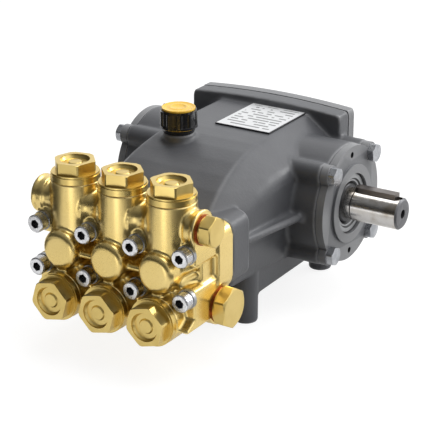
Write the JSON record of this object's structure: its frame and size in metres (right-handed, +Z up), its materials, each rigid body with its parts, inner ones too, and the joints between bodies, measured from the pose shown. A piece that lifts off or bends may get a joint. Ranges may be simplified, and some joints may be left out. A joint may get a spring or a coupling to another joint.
{
  "type": "plunger pump",
  "caption": "Belt or motor driven plunger pump with a brass valve head, cast crankcase on foot posts and a keyed drive shaft, for high pressure water.",
  "frame": {"origin": "on the floor plane, in the middle of the bolt pattern of the foot posts", "axes": "+X along the crankshaft towards the driven end, -Y towards the valve head, +Z up"},
  "size_m": [0.2303, 0.262, 0.1505],
  "materials": {
    "crankcase_paint": "satin anthracite over a cast skin",
    "zinc_bolts": "zinc plated, satin",
    "cap_screw_steel": "bright steel, satin",
    "washer_steel": "dark steel, satin",
    "sight_glass": "clear, oil behind it",
    "forged_brass": "forged, blasted satin",
    "turned_brass": "machined and forged, satin to bright",
    "copper_washer": "copper, matt",
    "seal_metal": "grey sheet steel ring with a black lip",
    "ground_steel": "ground, bright",
    "key_steel": "brownish bright steel",
    "black_plastic": "gloss",
    "yellow_plastic": "gloss",
    "plate_silver": "printed foil, satin"
  },
  "bodies": {
    "pump": {"crankcase": "crankcase_paint", "rear_cover": "crankcase_paint", "bearing_cover_drive": "crankcase_paint", "bearing_cover_blind": "crankcase_paint", "rear_cover_bolts": "zinc_bolts", "drive_cover_bolts": "zinc_bolts", "blind_cover_bolts": "zinc_bolts", "head_screws_upper": "cap_screw_steel", "head_screws_lower": "cap_screw_steel", "washers_upper": "washer_steel", "washers_lower": "washer_steel", "sight_glass_ring": "zinc_bolts", "sight_glass": "sight_glass", "drain_plug": "forged_brass", "drain_plug_washer": "copper_washer", "shaft_seal": "seal_metal", "filler_neck_ring": "black_plastic", "filler_cap": "black_plastic", "filler_cap_disc": "yellow_plastic", "rating_plate": "plate_silver", "manifold": "forged_brass", "discharge_cap_left": "turned_brass", "discharge_cap_centre": "turned_brass", "discharge_cap_right": "turned_brass", "suction_cap_left": "turned_brass", "suction_cap_centre": "turned_brass", "suction_cap_right": "turned_brass", "outlet_plug": "turned_brass", "outlet_plug_washer": "copper_washer", "inlet_plug": "turned_brass", "inlet_plug_washer": "copper_washer"},
    "crankshaft": {"crankshaft": "ground_steel", "shaft_key": "key_steel"}
  },
  "joints": [
    {"name": "crankshaft_spin", "type": "hinge", "parent": "pump", "child": "crankshaft", "pos_m": [0.1, 0.02, 0.076], "axis": [1, 0, 0], "continuous": true}
  ]
}
